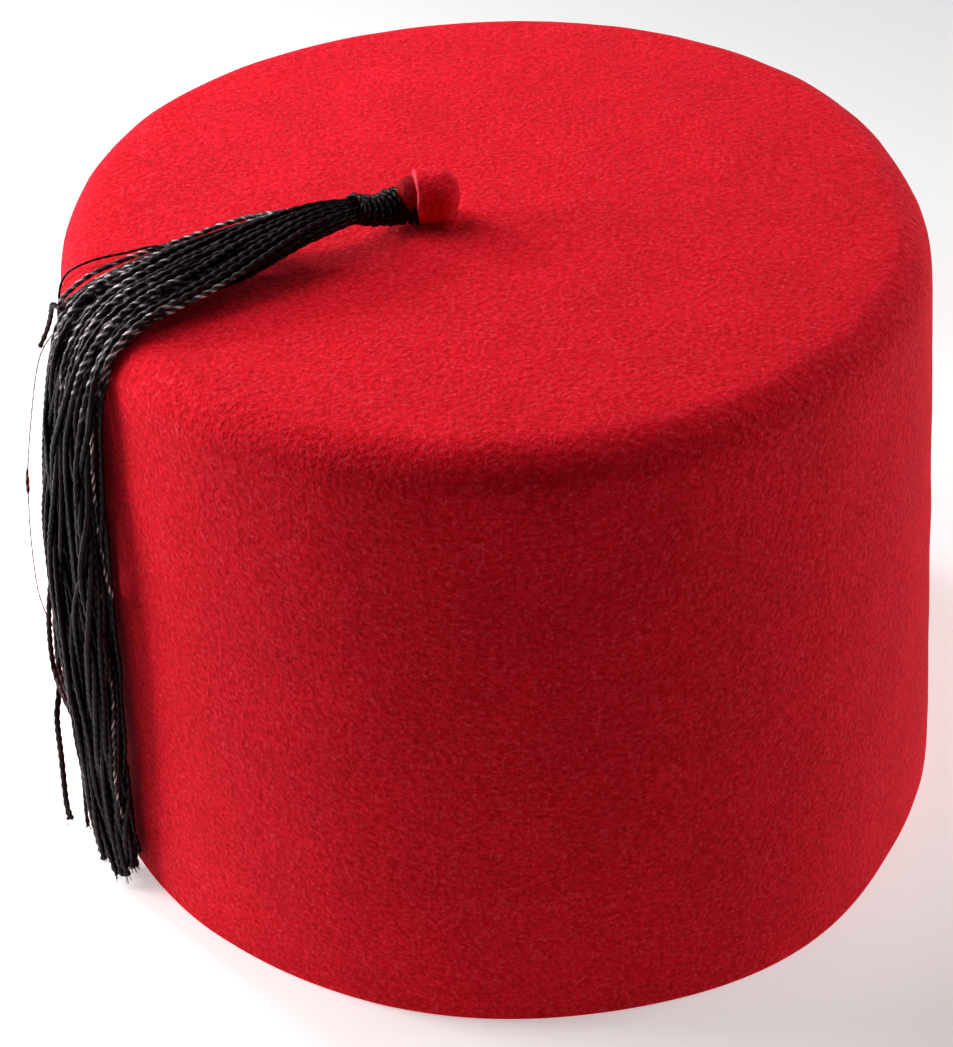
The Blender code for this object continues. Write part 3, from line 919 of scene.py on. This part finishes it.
def push_off_felt(cords, clear):
    """Moves points that are in the felt or too near it out to the clear distance."""
    for row in cords:
        for point in row:
            place = Vector(point)
            near, normal, _, far = CROWN.find_nearest(place)
            inside = (place - near).dot(normal) < 0.0
            if inside or far < clear:
                point[:] = near + normal * clear


def lay_cords(draw):
    """Middle lines of the cords, laid loosely in the bundle and settled clear of each other."""
    centre, across, off, size, along = lay_stations()
    steps = len(centre)
    share = along / along[-1]
    loose = sum(most * np.clip((share - start) / reach, 0.0, 1.0) for start, reach, most in LOOSENING)
    k = np.arange(CORDS)
    radius = np.sqrt((k + 0.5) / CORDS)
    turn = k * math.pi * (3 - math.sqrt(5))
    u = (radius * np.cos(turn))[:, None] + np.zeros(steps)
    v = (radius * np.sin(turn))[:, None] + np.zeros(steps)
    swirl = BUNDLE_TURN * np.clip(share / BUNDLE_TURN_REACH, 0.0, 1.0)
    u, v = u * np.cos(swirl) - v * np.sin(swirl), u * np.sin(swirl) + v * np.cos(swirl)
    for waves, strength in BUNDLE_WAVES:
        for values in (u, v):
            phase = draw.uniform(0, 2 * math.pi, (CORDS, 1))
            swing = draw.uniform(0.4, 1.0, (CORDS, 1)) * strength
            values += swing * loose * np.sin(2 * math.pi * waves * share + phase)
    out = np.maximum(np.hypot(u, v), 1.0)
    u, v = u / out, v / out
    thick = CORD_RADIUS * swell(along)
    half = size / 2 - thick[:, None]
    wide = u * half[:, 0]
    deep = v * half[:, 1] - np.abs(off[:, :2] ** 2).sum(axis=1) * wide**2 / (2 * HAT_RADIUS)
    cords = centre + across * wide[..., None] + off * deep[..., None]
    start = cords[:, :3].copy()
    for rounds in range(1, SETTLING + 1):
        cords = push_apart(cords, SETTLED_GAP * thick)
        cords[:, 1:-1] += SETTLING_SMOOTH * (cords[:, :-2] + cords[:, 2:] - 2 * cords[:, 1:-1])
        cords[:, :3] = start
        if rounds % SETTLING_CHECK == 0:
            push_off_felt(cords, CORD_RADIUS * SETTLED_OVER_FELT)
    return cords, off, thick, along


def cut_short(rows, length):
    """The rows of a cord without its last stretch."""
    fine, along = spread_along(rows, 0.001)
    return fine[along <= along[-1] - length]


def fray(hairs, rows, draw):
    """Fine filaments that stand out of a cord's cut end."""
    tip = rows[-1, :3]
    way = unit(rows[-1, :3] - rows[-3, :3])
    side = unit(np.cross(way, rows[-1, 3:6]))
    up = np.cross(side, way)
    for _ in range(FRAY_HAIRS):
        turn = draw.uniform(0, 2 * math.pi)
        out = up * math.cos(turn) + side * math.sin(turn)
        reach = draw.uniform(*FRAY_REACH)
        lean = draw.uniform(*FRAY_LEAN)
        route = np.array([
            tip - way * FRAY_ROOT + out * FRAY_OUT * 0.5,
            tip + way * FRAY_ROOT * 0.2 + out * FRAY_OUT,
            tip + way * reach * 0.5 + out * (FRAY_OUT + lean * reach * 0.4),
            tip + way * reach + out * (FRAY_OUT + lean * reach),
        ])
        route[:, 2] = np.maximum(route[:, 2], LOWEST)
        upright = np.broadcast_to(np.cross(way, out), route.shape)
        hairs.add(route, upright, FRAY_RADIUS, ply=0.0, shade=0.8)


def stray_rows(table):
    """A loose strand's rows of place, direction off the felt and radius."""
    rows = np.array(table)
    turn = np.radians(rows[:, 0])
    x = AXIS.x + rows[:, 1] * np.cos(turn)
    y = AXIS.y + rows[:, 1] * np.sin(turn)
    places = np.column_stack([x, y, rows[:, 2]])
    return np.column_stack([places, off_felt(places), rows[:, 3]])


def build_tassel(finish):
    """The cords in three pieces, the loose strands, and the filaments at all their ends."""
    draw = np.random.default_rng(CORD_SEED)
    cords, off, thick, along = lay_cords(draw)
    groups = [Cords() for _ in range(CORD_PIECES)]
    hairs = Cords(sides=4, ring=0.0006)
    for i, route in enumerate(cords):
        # painted highlight along each cord where it bends over the edge, stronger or weaker at random
        bend = along[np.argmin(np.abs(route[:, 2] - PAINTED_GLINT_AT))]
        painted_glint = np.exp(-(((along - bend) / PAINTED_GLINT_REACH) ** 2)) * draw.uniform(*PAINTED_GLINT)
        rows = cut_short(np.column_stack([route, off, thick, painted_glint]), TIP_SPREAD * draw.random() ** 1.6)
        twist = CORD_TWIST * draw.uniform(*CORD_TWISTING)
        groups[i % CORD_PIECES].add(
            rows[:, :3],
            rows[:, 3:6],
            rows[:, 6] * draw.uniform(*CORD_THICKNESS),
            turn=draw.uniform(0, 2 * math.pi),
            twist=twist,
            # a few cords at random also get lines of painted highlight on their crests
            shade=rows[:, 7] + 1.6 * draw.random() ** 3,
            opened=OPENED_END,
        )
        fray(hairs, rows, draw)
    strays = Cords(sides=8)
    for name, table in STRAYS.items():
        rows = stray_rows(table)
        strays.add(
            rows[:, :3],
            rows[:, 3:6],
            rows[:, 6],
            turn=draw.uniform(0, 2 * math.pi),
            shade=PAINTED_GLINT_STRAYS.get(name, 0.4),
            opened=OPENED_END,
        )
        fray(hairs, rows, draw)
    pieces = [group.build(f"tassel_cords_{i + 1}", finish) for i, group in enumerate(groups)]
    pieces.append(strays.build("tassel_strays", finish))
    pieces.append(hairs.build("tassel_fray", finish))
    for piece in pieces:
        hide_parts("tassel")


# ---------------------------------------------------------------- stage


def build_floor():
    bpy.ops.mesh.primitive_plane_add(size=FLOOR_SIZE)
    floor = bpy.context.object
    floor.name = "floor"
    floor.data.materials.append(floor_material())


def area_light(name, azimuth, elevation, distance, size, watts):
    """A square soft light, aimed at the middle of the hat."""
    turn = math.radians(azimuth)
    rise = math.radians(elevation)
    way = Vector((math.cos(rise) * math.cos(turn), math.cos(rise) * math.sin(turn), math.sin(rise)))
    data = bpy.data.lights.new(name, "AREA")
    data.size = size
    data.energy = watts
    lamp = bpy.data.objects.new(name, data)
    lamp.location = AXIS + way * distance
    lamp.rotation_euler = way.to_track_quat("Z", "Y").to_euler()
    bpy.context.scene.collection.objects.link(lamp)


def build_lights():
    for light in LIGHTS:
        area_light(*light)
    world = bpy.data.worlds.new("studio")
    world.use_nodes = True
    tree = world.node_tree
    dim = tree.nodes["Background"]
    dim.inputs["Color"].default_value = (1.0, 1.0, 1.0, 1.0)
    dim.inputs["Strength"].default_value = WORLD_LIGHT
    pale = tree.nodes.new("ShaderNodeBackground")
    pale.inputs["Color"].default_value = (1.0, 1.0, 1.0, 1.0)
    pale.inputs["Strength"].default_value = WORLD_SEEN
    path = tree.nodes.new("ShaderNodeLightPath")
    choice = tree.nodes.new("ShaderNodeMixShader")
    tree.links.new(path.outputs["Is Camera Ray"], choice.inputs["Fac"])
    tree.links.new(dim.outputs["Background"], choice.inputs[1])
    tree.links.new(pale.outputs["Background"], choice.inputs[2])
    tree.links.new(choice.outputs["Shader"], tree.nodes["World Output"].inputs["Surface"])
    bpy.context.scene.world = world


def build_camera():
    data = bpy.data.cameras.new("camera")
    data.sensor_width = CAMERA_SENSOR
    data.lens = CAMERA_LENS
    data.clip_start = 0.01
    camera = bpy.data.objects.new("camera", data)
    aim = (CAMERA_PLACE - CAMERA_AIM).to_track_quat("Z", "Y").to_matrix().to_4x4()
    roll = Matrix.Rotation(math.radians(CAMERA_ROLL), 4, "Z")
    camera.matrix_world = Matrix.Translation(CAMERA_PLACE) @ aim @ roll
    bpy.context.scene.collection.objects.link(camera)
    bpy.context.scene.camera = camera


def main():
    bpy.context.scene.view_settings.view_transform = "Standard"
    build_camera()
    build_floor()
    build_lights()
    felt = felt_material("felt")
    cord = cord_material("cord")
    build_crown(felt)
    build_stem(felt)
    build_tongue(felt_material("felt_tongue", TONGUE_PAINTED_SHADE))
    build_whipping(cord)
    build_tassel(cord)


main()
